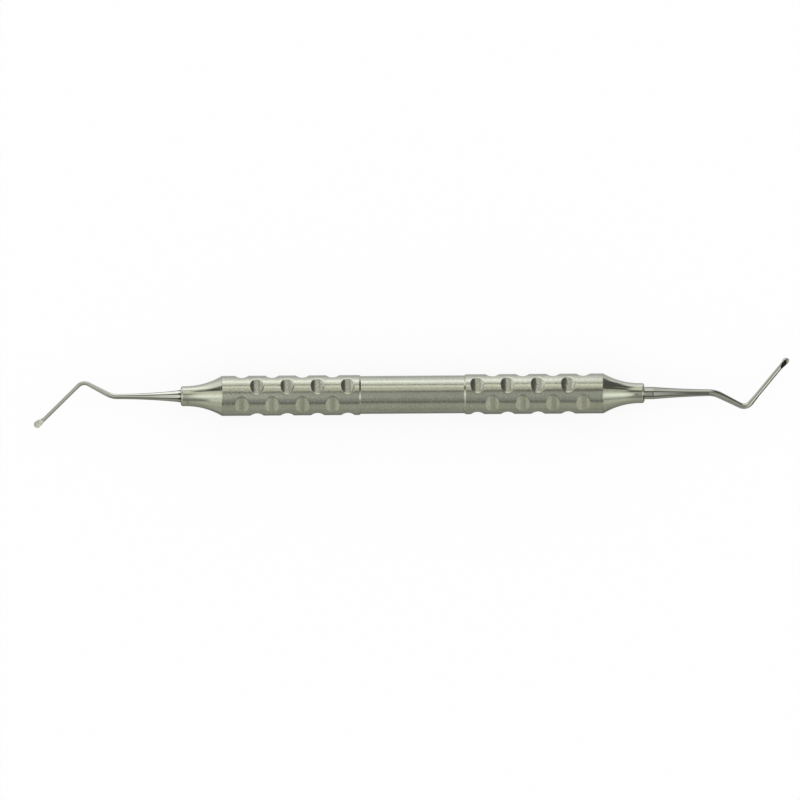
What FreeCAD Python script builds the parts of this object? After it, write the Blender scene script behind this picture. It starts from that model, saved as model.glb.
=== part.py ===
import FreeCAD, Part
import math
import os

import Sketcher

# Double-ended dental spoon excavator, lying on a table, in millimetres.
# +X runs along the handle to the right-hand end, +Y lies across it on the table, +Z is up.
# The origin is on the table, under the middle of the handle.

measures = {
    # handle
    "handle_length": 108.8,
    "grip_diameter": 9.4,
    "band_diameter": 8.9,
    "band_length": 24.2,
    "band_shoulder_length": 0.42,
    "bore_diameter": 7.0,
    "edge_break": 0.08,
    # dimples of the two grips
    "dimple_pitch": 7.1,
    "dimple_cutter_radius": 2.5,
    "dimple_depth": 0.54,
    "dimple_first": 4.65,
    "dimples_in_row": 4,
    "dimple_rows": 3,
    # nose cones
    "nose_length": 9.7,
    "mouth_diameter": 4.7,
    "mouth_land": 0.6,
    "mouth_round_length": 0.42,
    "mouth_face_diameter": 3.3,
    "spigot_length": 6.0,
    "spigot_chamfer": 0.3,
    "socket_diameter": 2.5,
    "socket_depth": 13.0,
    "drill_point_length": 0.7,
    # tangs of the working ends
    "tang_length": 12.0,
    "tang_chamfer": 0.25,
    # ground flats on the shanks
    "flat_count": 8,
    "flat_share": 0.93,
    # left working end
    "left_root_diameter": 2.88,
    "left_stub_length": 0.3,
    "left_shank_length": 16.08,
    "left_shank_sag": 0.19,
    "left_shank_end_diameter": 1.2,
    "left_flat_roll": -2.0,
    "left_bend_angle": 28.2,
    "left_bend_radius": 5.0,
    "left_middle_length": 7.77,
    "left_middle_end_diameter": 0.96,
    "left_elbow_angle": 72.4,
    "left_elbow_radius": 2.0,
    "left_reach": 14.75,
    "left_neck_diameter": 0.88,
    "left_slim_length": 1.5,
    "left_face_tilt": 0.0,
    # right working end
    "right_root_diameter": 2.92,
    "right_stub_length": 2.0,
    "right_shank_length": 16.5,
    "right_shank_sag": 0.1,
    "right_shank_end_diameter": 1.6,
    "right_flat_roll": 10.0,
    "right_bend_angle": 27.0,
    "right_bend_radius": 6.0,
    "right_middle_length": 8.22,
    "right_middle_end_diameter": 1.3,
    "right_elbow_angle": 77.0,
    "right_elbow_radius": 2.0,
    "right_reach": 14.45,
    "right_neck_diameter": 1.08,
    "right_slim_length": 2.6,
    "right_face_tilt": 47.0,
    # spoons
    "spoon_radius": 0.83,
    "spoon_back_depth": 0.86,
    "spoon_offset": 0.26,
    "face_level": 0.12,
    "hollow_depth": 0.14,
    "rim_width": 0.1,
    "neck_length": 2.2,
    "scoop_length": 2.2,
    "scoop_bulge": 0.1,
}

doc = FreeCAD.newDocument("spoon_excavator")
sheet = doc.addObject("Spreadsheet::Sheet", "Sizes")
for row, (alias, number) in enumerate(measures.items(), start=1):
    sheet.set(f"A{row}", alias)
    sheet.set(f"B{row}", str(number))
    sheet.setAlias(f"B{row}", alias)
doc.recompute()


class Size:
    # A number together with the sheet expression that gives it.
    def __init__(self, number, text):
        self.number = number
        self.text = text

    def __add__(self, other):
        other = asSize(other)
        return Size(self.number + other.number, f"({self.text} + {other.text})")

    def __sub__(self, other):
        other = asSize(other)
        return Size(self.number - other.number, f"({self.text} - {other.text})")

    def __mul__(self, other):
        other = asSize(other)
        return Size(self.number * other.number, f"({self.text} * {other.text})")

    def __truediv__(self, other):
        other = asSize(other)
        return Size(self.number / other.number, f"({self.text} / {other.text})")

    def __neg__(self):
        return Size(-self.number, f"(-1 * {self.text})")


def asSize(value):
    if isinstance(value, Size):
        return value
    return Size(float(value), repr(float(value)))


def root(size):
    return Size(math.sqrt(size.number), f"sqrt({size.text})")


def tangent(size):
    return Size(math.tan(math.radians(size.number)), f"tan({size.text})")


def sizeOf(alias):
    return Size(float(measures[alias]), f"Sizes.{alias}")


def bind(feature, path, size):
    feature.setExpression(path, asSize(size).text)


def originPlane(body, role):
    return next(item for item in body.Origin.OriginFeatures if item.Role == role)


def attach(feature, support, mode, base=(0, 0, 0), axis=(0, 0, 1), angle=None):
    # Offset and turn are in the support's own axes.
    feature.AttachmentSupport = [(support, "")]
    feature.MapMode = mode
    turn = FreeCAD.Rotation(FreeCAD.Vector(*axis), asSize(angle or 0).number)
    start = FreeCAD.Vector(*[asSize(part).number for part in base])
    feature.AttachmentOffset = FreeCAD.Placement(start, turn)
    for letter, part in zip("xyz", base):
        if isinstance(part, Size):
            bind(feature, f".AttachmentOffset.Base.{letter}", part)
    if isinstance(angle, Size):
        bind(feature, ".AttachmentOffset.Rotation.Angle", angle)


def newSketch(body, name, support, mode, **offset):
    sketch = body.newObject("Sketcher::SketchObject", name)
    attach(sketch, support, mode, **offset)
    return sketch


def hold(sketch, *constraint, size):
    index = sketch.addConstraint(Sketcher.Constraint(*constraint, asSize(size).number))
    bind(sketch, f"Constraints[{index}]", size)


def drawOutline(sketch, corners):
    # Each corner is (x, y) or (x, y, sag); sag bows the side after it to the left by that much.
    corners = [tuple(asSize(part) for part in corner) for corner in corners]
    count = len(corners)
    for index, (corner, after) in enumerate(zip(corners, corners[1:] + corners[:1])):
        here = FreeCAD.Vector(corner[0].number, corner[1].number, 0)
        there = FreeCAD.Vector(after[0].number, after[1].number, 0)
        if len(corner) == 2:
            sketch.addGeometry(Part.LineSegment(here, there), False)
            continue
        across = (there - here).normalize()
        left = FreeCAD.Vector(-across.y, across.x, 0)
        crown = (here + there) / 2 + left * corner[2].number
        sketch.addGeometry(Part.Arc(here, crown, there), False)
    arcEnds = []
    for index, corner in enumerate(corners):
        # An arc is stored counter-clockwise, so one that bows left starts at its far corner.
        bowsLeft = len(corner) == 3 and corner[2].number > 0
        arcEnds.append((2, 1) if bowsLeft else (1, 2))
    for index, corner in enumerate(corners):
        before = (index - 1) % count
        sketch.addConstraint(
            Sketcher.Constraint("Coincident", before, arcEnds[before][1], index, arcEnds[index][0])
        )
        hold(sketch, "DistanceX", -1, 1, index, arcEnds[index][0], size=corner[0])
        hold(sketch, "DistanceY", -1, 1, index, arcEnds[index][0], size=corner[1])
    for index, (corner, after) in enumerate(zip(corners, corners[1:] + corners[:1])):
        if len(corner) == 3:
            along = after[0] - corner[0]
            up = after[1] - corner[1]
            sag = corner[2] if corner[2].number > 0 else -corner[2]
            halfChordSquare = (along * along + up * up) / 4
            hold(sketch, "Radius", index, size=(halfChordSquare + sag * sag) / (sag * 2))


def drawCircle(sketch, centre, radius):
    middle = FreeCAD.Vector(asSize(centre[0]).number, asSize(centre[1]).number, 0)
    up = FreeCAD.Vector(0, 0, 1)
    circle = sketch.addGeometry(Part.Circle(middle, up, asSize(radius).number), False)
    hold(sketch, "DistanceX", -1, 1, circle, 3, size=centre[0])
    hold(sketch, "DistanceY", -1, 1, circle, 3, size=centre[1])
    hold(sketch, "Radius", circle, size=radius)


def revolve(body, name, sketch, axis, angle=360, backwards=False):
    feature = body.newObject("PartDesign::Revolution", name)
    feature.Profile = sketch
    feature.ReferenceAxis = (sketch, [axis])
    feature.Angle = asSize(angle).number
    feature.Reversed = backwards
    if isinstance(angle, Size):
        bind(feature, "Angle", angle)
    return feature


def pocketBothWays(body, name, sketch, width):
    feature = body.newObject("PartDesign::Pocket", name)
    feature.Profile = sketch
    feature.Type = "Length"
    feature.SideType = "Symmetric"
    feature.Length = asSize(width).number
    bind(feature, "Length", width)
    return feature


def checkedVolume(feature):
    doc.recompute()
    return feature.Shape.Volume


gripRadius = sizeOf("grip_diameter") / 2
bandRadius = sizeOf("band_diameter") / 2
boreRadius = sizeOf("bore_diameter") / 2
mouthRadius = sizeOf("mouth_diameter") / 2
socketRadius = sizeOf("socket_diameter") / 2
edgeBreak = sizeOf("edge_break")
tubeHalf = sizeOf("handle_length") / 2 - sizeOf("nose_length")


def cutDimples(body, name, firstFromNose, side):
    # One dimple is a straight cut by a round cutter across the grip. It is repeated along the
    # grip, at three places around it, and on the other grip.
    cutterRadius = sizeOf("dimple_cutter_radius")
    depth = sizeOf("dimple_depth")
    centre = (firstFromNose - tubeHalf, (gripRadius - depth + cutterRadius) * side)
    sketch = newSketch(body, f"{name}_cutter", originPlane(body, "XY_Plane"), "FlatFace")
    drawCircle(sketch, centre, cutterRadius)
    pocket = pocketBothWays(body, f"{name}_first", sketch, sizeOf("grip_diameter"))
    doc.recompute()

    alongGrip = body.newObject("PartDesign::LinearPattern", f"{name}_along_grip")
    alongGrip.Direction = (sketch, ["H_Axis"])
    bind(alongGrip, "Length", sizeOf("dimple_pitch") * (sizeOf("dimples_in_row") - 1))
    bind(alongGrip, "Occurrences", sizeOf("dimples_in_row"))
    aroundGrip = body.newObject("PartDesign::PolarPattern", f"{name}_around_grip")
    aroundGrip.Axis = (sketch, ["H_Axis"])
    aroundGrip.Angle = 360
    bind(aroundGrip, "Occurrences", sizeOf("dimple_rows"))
    otherGrip = body.newObject("PartDesign::Mirrored", f"{name}_other_grip")
    otherGrip.MirrorPlane = (sketch, ["V_Axis"])

    everyDimple = body.newObject("PartDesign::MultiTransform", name)
    everyDimple.Originals = [pocket]
    everyDimple.Transformations = [alongGrip, aroundGrip, otherGrip]
    body.Tip = everyDimple
    return everyDimple


def makeHandleTube():
    # A turned tube: two dimpled grips with a slightly thinner plain band between them.
    body = doc.addObject("PartDesign::Body", "handle_tube")
    bandHalf = sizeOf("band_length") / 2
    gripStart = bandHalf + sizeOf("band_shoulder_length")
    half = [
        (tubeHalf, boreRadius),
        (tubeHalf, gripRadius - edgeBreak),
        (tubeHalf - edgeBreak, gripRadius),
        (gripStart, gripRadius),
        (bandHalf, bandRadius),
    ]
    mirrored = [(-x, y) for x, y in reversed(half)]
    sketch = newSketch(body, "tube_profile", originPlane(body, "XY_Plane"), "FlatFace")
    drawOutline(sketch, half + mirrored)
    turned = revolve(body, "turned_tube", sketch, "H_Axis")
    plainVolume = checkedVolume(turned)

    firstDimple = sizeOf("dimple_first")
    cutDimples(body, "nose_side_dimples", firstDimple, 1)
    halfCutVolume = checkedVolume(body)
    cutDimples(body, "band_side_dimples", firstDimple + sizeOf("dimple_pitch") / 2, -1)
    fullCutVolume = checkedVolume(body)
    if not plainVolume > halfCutVolume > fullCutVolume:
        raise RuntimeError("a set of dimples has cut nothing")
    return body


def makeNoseCone(name):
    # A turned plug: spigot in the tube, hollow cone outside, socket for the tang.
    # Its own origin is on the axis at the tube's end, with +X towards the mouth.
    body = doc.addObject("PartDesign::Body", name)
    length = sizeOf("nose_length")
    roundStart = length - sizeOf("mouth_round_length")
    landStart = roundStart - sizeOf("mouth_land")
    faceRadius = sizeOf("mouth_face_diameter") / 2
    rise = gripRadius - mouthRadius
    run = landStart - edgeBreak
    coneRadius = (run * run + rise * rise) / (rise * 2)
    halfChord = root(run * run + rise * rise) / 2
    coneSag = coneRadius - root(coneRadius * coneRadius - halfChord * halfChord)
    spigotBack = -sizeOf("spigot_length")
    chamfer = sizeOf("spigot_chamfer")
    socketEnd = length - sizeOf("socket_depth")
    corners = [
        (spigotBack, 0),
        (socketEnd - sizeOf("drill_point_length"), 0),
        (socketEnd, socketRadius),
        (length, socketRadius),
        (length, faceRadius, -(sizeOf("mouth_round_length") * 0.25)),
        (roundStart, mouthRadius),
        (landStart, mouthRadius, coneSag),
        (edgeBreak, gripRadius),
        (0, gripRadius - edgeBreak),
        (0, boreRadius),
        (spigotBack + chamfer, boreRadius),
        (spigotBack, boreRadius - chamfer),
    ]
    sketch = newSketch(body, f"{name}_profile", originPlane(body, "XY_Plane"), "FlatFace")
    drawOutline(sketch, corners)
    revolve(body, f"{name}_turned", sketch, "H_Axis")
    return body


def makeShank(body, side, bendStart):
    # Tang, root and tapered straight shank, turned about the handle's axis.
    rootRadius = sizeOf(f"{side}_root_diameter") / 2
    endRadius = sizeOf(f"{side}_shank_end_diameter") / 2
    tangEnd = -sizeOf("tang_length")
    chamfer = sizeOf("tang_chamfer")
    stub = sizeOf(f"{side}_stub_length")
    sag = sizeOf(f"{side}_shank_sag")
    corners = [
        (tangEnd, 0),
        (bendStart, 0),
        (bendStart, endRadius, sag),
        (stub, rootRadius),
        (0, rootRadius),
        (0, socketRadius),
        (tangEnd + chamfer, socketRadius),
        (tangEnd, socketRadius - chamfer),
    ]
    sketch = newSketch(body, "shank_profile", originPlane(body, "XY_Plane"), "FlatFace")
    drawOutline(sketch, corners)
    turned = revolve(body, "turned_shank", sketch, "H_Axis")
    roundVolume = checkedVolume(turned)

    # The flats follow the taper, a little under the round surface, and run out before the bend.
    share = sizeOf("flat_share")
    clear = rootRadius * 1.3
    flatEnd = bendStart - endRadius * 2
    taperLeft = endRadius * 2 * (rootRadius - endRadius) / (bendStart - stub)
    corners = [
        (0, rootRadius * share),
        (stub, rootRadius * share, -sag),
        (flatEnd, (endRadius + taperLeft * 0.5) * share),
        (bendStart, endRadius * 1.1),
        (bendStart, clear),
        (0, clear),
    ]
    sketch = newSketch(
        body,
        "flat_profile",
        originPlane(body, "XZ_Plane"),
        "FlatFace",
        axis=(1, 0, 0),
        angle=sizeOf(f"{side}_flat_roll"),
    )
    drawOutline(sketch, corners)
    flat = pocketBothWays(body, "first_flat", sketch, rootRadius * 2)
    doc.recompute()
    flats = body.newObject("PartDesign::PolarPattern", "ground_flats")
    flats.Originals = [flat]
    flats.Axis = (sketch, ["H_Axis"])
    flats.Angle = 360
    bind(flats, "Occurrences", sizeOf("flat_count"))
    body.Tip = flats
    if checkedVolume(body) >= roundVolume:
        raise RuntimeError("the shank's flats have cut nothing")


def newFrame(body, name, support, mode, **offset):
    frame = body.newObject("PartDesign::CoordinateSystem", name)
    attach(frame, support, mode, **offset)
    return frame


def makeBentWire(body, side, bendStart):
    # First bend, middle length, elbow and last length, down to where the neck begins.
    # A frame lies at each corner of the wire's centre line, with +X along what follows it.
    bendAngle = sizeOf(f"{side}_bend_angle")
    bendRadius = sizeOf(f"{side}_bend_radius")
    elbowAngle = sizeOf(f"{side}_elbow_angle")
    elbowRadius = sizeOf(f"{side}_elbow_radius")
    bendTrim = bendRadius * tangent(bendAngle / 2)
    elbowTrim = elbowRadius * tangent(elbowAngle / 2)
    shankRadius = sizeOf(f"{side}_shank_end_diameter") / 2
    middleRadius = sizeOf(f"{side}_middle_end_diameter") / 2
    neckRadius = sizeOf(f"{side}_neck_diameter") / 2
    middleEnd = sizeOf(f"{side}_middle_length") - elbowTrim
    slimEnd = elbowTrim + sizeOf(f"{side}_slim_length")
    neckStart = sizeOf(f"{side}_reach") - sizeOf("neck_length")

    middleFrame = newFrame(
        body,
        "middle_frame",
        originPlane(body, "XY_Plane"),
        "FlatFace",
        base=(sizeOf(f"{side}_shank_length"), 0, 0),
        angle=-bendAngle,
    )
    lastFrame = newFrame(
        body,
        "last_frame",
        middleFrame,
        "ObjectXY",
        base=(sizeOf(f"{side}_middle_length"), 0, 0),
        angle=elbowAngle,
    )

    sketch = newSketch(
        body,
        "bend_section",
        originPlane(body, "YZ_Plane"),
        "FlatFace",
        base=(-bendRadius, 0, bendStart),
    )
    drawCircle(sketch, (bendRadius, 0), shankRadius)
    revolve(body, "bend", sketch, "V_Axis", bendAngle, backwards=True)

    sketch = newSketch(body, "middle_profile", middleFrame, "ObjectXY")
    corners = [(bendTrim, 0), (middleEnd, 0), (middleEnd, middleRadius), (bendTrim, shankRadius)]
    drawOutline(sketch, corners)
    revolve(body, "middle_length", sketch, "H_Axis")

    sketch = newSketch(
        body, "elbow_section", middleFrame, "ObjectYZ", base=(elbowRadius, 0, middleEnd)
    )
    drawCircle(sketch, (-elbowRadius, 0), middleRadius)
    revolve(body, "elbow", sketch, "V_Axis", elbowAngle)

    sketch = newSketch(body, "last_profile", lastFrame, "ObjectXY")
    corners = [
        (elbowTrim, 0),
        (neckStart, 0),
        (neckStart, neckRadius),
        (slimEnd, neckRadius),
        (elbowTrim, middleRadius),
    ]
    drawOutline(sketch, corners)
    revolve(body, "last_length", sketch, "H_Axis")
    return lastFrame


def makeSpoon(body, side, lastFrame):
    # A round bowl on a flaring neck, ground away in front down to the face, then hollowed.
    # The spoon's frame is at the bowl's centre line, with +Z out of the face.
    neckRadius = sizeOf(f"{side}_neck_diameter") / 2
    bowlRadius = sizeOf("spoon_radius")
    backDepth = sizeOf("spoon_back_depth")
    neckLength = sizeOf("neck_length")
    aside = -sizeOf("spoon_offset")
    faceLevel = sizeOf("face_level")
    frame = newFrame(
        body,
        "spoon_frame",
        lastFrame,
        "ObjectXY",
        base=(sizeOf(f"{side}_reach"), 0, 0),
        axis=(1, 0, 0),
        angle=sizeOf(f"{side}_face_tilt"),
    )

    # Sections of the neck: distance before the bowl's centre, sideways shift, half width, half height.
    sections = [
        (neckLength, asSize(0), neckRadius, neckRadius),
        (neckLength * 0.7, aside * 0.3, (neckRadius * 5 + bowlRadius) / 6, neckRadius),
        (neckLength * 0.39, aside * 0.73, bowlRadius * 0.79, bowlRadius * 0.75),
        (neckLength * 0.11, aside, bowlRadius * 0.94, backDepth * 0.94),
    ]
    rings = []
    for number, (back, shift, halfWidth, halfHeight) in enumerate(sections, start=1):
        sketch = newSketch(
            body, f"neck_section_{number}", frame, "ObjectYZ", base=(shift, 0, -back)
        )
        drawEllipse(sketch, halfWidth, halfHeight)
        rings.append(sketch)
    neck = body.newObject("PartDesign::AdditiveLoft", "neck")
    neck.Profile = rings[0]
    neck.Sections = rings[1:]
    neck.Ruled = False

    bowl = body.newObject("PartDesign::AdditiveEllipsoid", "bowl")
    attach(bowl, frame, "ObjectXY", base=(0, aside, 0))
    bind(bowl, "Radius1", backDepth)
    bind(bowl, "Radius2", bowlRadius)
    bind(bowl, "Radius3", bowlRadius)
    solidVolume = checkedVolume(bowl)

    sketch = newSketch(body, "front_profile", frame, "ObjectXZ")
    scoopEnd = -bowlRadius
    scoopStart = scoopEnd - sizeOf("scoop_length")
    above = bowlRadius * 2
    corners = [
        (scoopStart, neckRadius * 1.05, -sizeOf("scoop_bulge")),
        (scoopEnd, faceLevel),
        (bowlRadius * 2, faceLevel),
        (bowlRadius * 2, above),
        (scoopStart, above),
    ]
    drawOutline(sketch, corners)
    front = pocketBothWays(body, "front_grind", sketch, bowlRadius * 6)
    groundVolume = checkedVolume(front)

    rimRadius = bowlRadius - sizeOf("rim_width")
    depth = sizeOf("hollow_depth")
    hollowRadius = (rimRadius * rimRadius + depth * depth) / (depth * 2)
    hollow = body.newObject("PartDesign::SubtractiveSphere", "hollow")
    attach(hollow, frame, "ObjectXY", base=(0, aside, faceLevel + hollowRadius - depth))
    bind(hollow, "Radius", hollowRadius)
    if not solidVolume > groundVolume > checkedVolume(hollow):
        raise RuntimeError("the spoon's face or hollow has cut nothing")


def drawEllipse(sketch, halfWidth, halfHeight):
    # An upright or flat ellipse about the sketch's origin, held by its two half sizes.
    wide = asSize(halfWidth).number
    high = asSize(halfHeight).number
    if abs(wide - high) < 1e-9:
        drawCircle(sketch, (0, 0), halfWidth)
        return
    middle = FreeCAD.Vector(0, 0, 0)
    if wide > high:
        ends = (FreeCAD.Vector(wide, 0, 0), FreeCAD.Vector(0, high, 0))
        sizes = (halfWidth, halfHeight)
    else:
        ends = (FreeCAD.Vector(0, high, 0), FreeCAD.Vector(-wide, 0, 0))
        sizes = (halfHeight, halfWidth)
    ellipse = sketch.addGeometry(Part.Ellipse(ends[0], ends[1], middle), False)
    sketch.exposeInternalGeometry(ellipse)
    majorLine = ellipse + 1
    minorLine = ellipse + 2
    sketch.addConstraint(Sketcher.Constraint("Coincident", ellipse, 3, -1, 1))
    sketch.addConstraint(Sketcher.Constraint("Horizontal" if wide > high else "Vertical", majorLine))
    hold(sketch, "Distance", majorLine, size=asSize(sizes[0]) * 2)
    hold(sketch, "Distance", minorLine, size=asSize(sizes[1]) * 2)


def makeSpoonShank(name, side):
    # One ground piece from the tang to the spoon. Its own origin is on the axis at the cone's mouth.
    body = doc.addObject("PartDesign::Body", name)
    bendTrim = sizeOf(f"{side}_bend_radius") * tangent(sizeOf(f"{side}_bend_angle") / 2)
    bendStart = sizeOf(f"{side}_shank_length") - bendTrim
    makeShank(body, side, bendStart)
    lastFrame = makeBentWire(body, side, bendStart)
    makeSpoon(body, side, lastFrame)
    return body


def setDown(body, fromMiddle, turned=False):
    # The handle's axis lies one grip radius above the table. A turned piece faces -X.
    turn = FreeCAD.Rotation(FreeCAD.Vector(0, 0, 1), 180 if turned else 0)
    side = -1 if turned else 1
    place = FreeCAD.Vector(fromMiddle.number * side, 0, gripRadius.number)
    body.Placement = FreeCAD.Placement(place, turn)
    bind(body, ".Placement.Base.x", fromMiddle * side)
    bind(body, ".Placement.Base.z", gripRadius)


def main():
    mouth = sizeOf("handle_length") / 2
    pieces = [
        (makeHandleTube(), asSize(0), False),
        (makeNoseCone("left_nose_cone"), tubeHalf, True),
        (makeNoseCone("right_nose_cone"), tubeHalf, False),
        (makeSpoonShank("left_spoon_shank", "left"), mouth, True),
        (makeSpoonShank("right_spoon_shank", "right"), mouth, False),
    ]
    for body, fromMiddle, turned in pieces:
        setDown(body, fromMiddle, turned)
    doc.recompute()

    for item in doc.Objects:
        if "Invalid" in item.State or "Error" in item.State:
            raise RuntimeError(f"{item.Name} has failed: {item.State}")
    for body, fromMiddle, turned in pieces:
        if body.Shape.isNull() or not body.Shape.isValid() or len(body.Shape.Solids) != 1:
            raise RuntimeError(f"{body.Label} is not one valid solid")

    os.makedirs("parts", exist_ok=True)
    for body, fromMiddle, turned in pieces:
        body.Shape.exportStep(f"parts/{body.Label}.step")
        box = body.Shape.BoundBox
        print(
            f"{body.Label}: {body.Shape.Volume:.1f} mm3, "
            f"x {box.XMin:.2f} to {box.XMax:.2f}, y {box.YMin:.2f} to {box.YMax:.2f}, "
            f"z {box.ZMin:.2f} to {box.ZMax:.2f}"
        )


main()
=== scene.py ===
import math

import bmesh
import bpy
import numpy as np
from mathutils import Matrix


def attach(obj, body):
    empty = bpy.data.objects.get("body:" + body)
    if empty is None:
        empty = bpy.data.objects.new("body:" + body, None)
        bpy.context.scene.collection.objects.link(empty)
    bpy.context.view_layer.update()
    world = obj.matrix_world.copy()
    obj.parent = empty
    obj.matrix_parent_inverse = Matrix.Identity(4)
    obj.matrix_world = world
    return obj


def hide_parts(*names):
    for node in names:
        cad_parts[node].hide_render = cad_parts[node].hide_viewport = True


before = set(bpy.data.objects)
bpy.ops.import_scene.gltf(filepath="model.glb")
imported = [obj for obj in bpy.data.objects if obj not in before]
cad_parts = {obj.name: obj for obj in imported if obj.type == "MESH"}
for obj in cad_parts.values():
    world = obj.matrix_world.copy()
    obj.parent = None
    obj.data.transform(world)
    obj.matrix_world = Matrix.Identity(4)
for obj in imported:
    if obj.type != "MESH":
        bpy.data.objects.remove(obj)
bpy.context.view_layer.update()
scene = bpy.context.scene
scene.view_settings.view_transform = "Standard"
mm = 0.001


# Writing node trees as plain expressions

class Wire:
    # the value on one output socket; sums on it add Math nodes
    def __init__(self, tree, socket):
        self.tree = tree
        self.socket = socket

    def sum(self, operation, *values):
        return self.tree.add("ShaderNodeMath", {"operation": operation}, dict(enumerate(values)))

    def __add__(self, other):
        return self.sum("ADD", self, other)

    def __radd__(self, other):
        return self.sum("ADD", other, self)

    def __sub__(self, other):
        return self.sum("SUBTRACT", self, other)

    def __rsub__(self, other):
        return self.sum("SUBTRACT", other, self)

    def __mul__(self, other):
        return self.sum("MULTIPLY", self, other)

    def __rmul__(self, other):
        return self.sum("MULTIPLY", other, self)

    def __truediv__(self, other):
        return self.sum("DIVIDE", self, other)

    def __abs__(self):
        return self.sum("ABSOLUTE", self)

    def __gt__(self, other):
        return self.sum("GREATER_THAN", self, other)

    def __lt__(self, other):
        return self.sum("LESS_THAN", self, other)

    def __mod__(self, other):
        return self.sum("MODULO", self, other)

    def floor(self):
        return self.sum("FLOOR", self)

    def sin(self):
        return self.sum("SINE", self)

    def cos(self):
        return self.sum("COSINE", self)

    def arccos(self):
        return self.sum("ARCCOSINE", self)

    def root(self):
        return self.sum("SQRT", self)

    def sign(self):
        return self.sum("SIGN", self)

    def atMost(self, other):
        return self.sum("MINIMUM", self, other)

    def softlyAtMost(self, other, width):
        return self.sum("SMOOTH_MIN", self, other, width)

    def atLeast(self, other):
        return self.sum("MAXIMUM", self, other)

    def angleFrom(self, other):
        return self.sum("ARCTAN2", self, other)

    def to(self, low, high, newLow=0.0, newHigh=1.0, smooth=False):
        kind = "SMOOTHSTEP" if smooth else "LINEAR"
        return self.tree.add("ShaderNodeMapRange", {"interpolation_type": kind, "clamp": True},
                             {"Value": self, "From Min": low, "From Max": high,
                              "To Min": newLow, "To Max": newHigh}, "Result")


class Nodes:
    # adds nodes to one tree: type, settings, then values or links for its inputs
    def __init__(self, tree):
        self.tree = tree

    def add(self, kind, settings=None, inputs=None, output=0):
        node = self.tree.nodes.new(kind)
        for name, value in (settings or {}).items():
            setattr(node, name, value)
        for name, value in (inputs or {}).items():
            socket = node.inputs[name]
            if isinstance(value, Wire):
                self.tree.links.new(value.socket, socket)
            else:
                socket.default_value = value
        if output is None:
            return node
        return Wire(self, node.outputs[output])


def newMaterial(name):
    material = bpy.data.materials.new(name)
    material.use_nodes = True
    material.node_tree.nodes.clear()
    return material, Nodes(material.node_tree)


def finishMaterial(nodes, shader):
    nodes.add("ShaderNodeOutputMaterial", None, {"Surface": shader}, None)


# Materials

def turnedSteel():
    # grips and band: lathe marks run round the handle, so highlights smear along it
    look = {"colour": (0.545, 0.56, 0.465), "roughness": 0.17, "grooveDepth": 0.0016 * mm,
            "grain": 5.0, "scratches": 6.0,
            # how fine each pattern is, per metre
            "fineScale": 9000.0, "broadScale": 1700.0, "streakScale": (2600.0, 350.0, 350.0),
            "cloudScale": 160.0, "grainScale": 3600.0, "scratchScale": 520.0, "spotScale": 130.0}
    material, nodes = newMaterial("turned steel")
    place = nodes.add("ShaderNodeTexCoord", None, None, "Object")
    apart = nodes.add("ShaderNodeSeparateXYZ", None, {"Vector": place}, None)
    along = Wire(nodes, apart.outputs["X"])
    onlyAlong = nodes.add("ShaderNodeCombineXYZ", None, {"X": along})
    fine = nodes.add("ShaderNodeTexNoise", {"noise_dimensions": "3D"},
                     {"Vector": onlyAlong, "Scale": look["fineScale"], "Detail": 2.0,
                      "Roughness": 0.6}, "Fac")
    broad = nodes.add("ShaderNodeTexNoise", {"noise_dimensions": "3D"},
                      {"Vector": onlyAlong, "Scale": look["broadScale"], "Detail": 2.0,
                       "Roughness": 0.5}, "Fac")
    streak = nodes.add("ShaderNodeTexNoise", {"noise_dimensions": "3D"},
                       {"Vector": nodes.add("ShaderNodeVectorMath", {"operation": "MULTIPLY"},
                                            {0: place, 1: look["streakScale"]}),
                        "Scale": 1.0, "Detail": 3.0, "Roughness": 0.6}, "Fac")
    cloud = nodes.add("ShaderNodeTexNoise", None,
                      {"Vector": place, "Scale": look["cloudScale"], "Detail": 3.0,
                       "Roughness": 0.55}, "Fac")
    grain = nodes.add("ShaderNodeTexNoise", None,
                      {"Vector": place, "Scale": look["grainScale"], "Detail": 1.0,
                       "Roughness": 0.5}, "Fac")
    scratch = nodes.add("ShaderNodeTexWave", {"wave_type": "BANDS", "bands_direction": "DIAGONAL"},
                        {"Vector": place, "Scale": look["scratchScale"], "Distortion": 3.0,
                         "Detail": 1.0, "Detail Scale": 3.0}, "Fac")
    scratchSpots = nodes.add("ShaderNodeTexNoise", None,
                             {"Vector": place, "Scale": look["spotScale"], "Detail": 0.0}, "Fac")
    height = (fine * 0.7 + broad * 0.6 + streak * 0.35 + grain * look["grain"]
              + scratch * scratchSpots.to(0.52, 0.66) * look["scratches"])
    bump = nodes.add("ShaderNodeBump", None,
                     {"Strength": 1.0, "Distance": look["grooveDepth"], "Height": height}, "Normal")
    shade = (cloud.to(0.3, 0.7, 0.95, 1.04) * streak.to(0.3, 0.7, 0.975, 1.02)
             * grain.to(0.3, 0.7, 0.85, 1.12))
    tint = nodes.add("ShaderNodeVectorMath", {"operation": "SCALE"},
                     {0: look["colour"], "Scale": shade})
    shader = nodes.add("ShaderNodeBsdfPrincipled", None,
                       {"Base Color": tint, "Metallic": 1.0,
                        "Roughness": look["roughness"] + streak.to(0.3, 0.7, -0.02, 0.03),
                        "Normal": bump})
    finishMaterial(nodes, shader)
    return material


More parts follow.
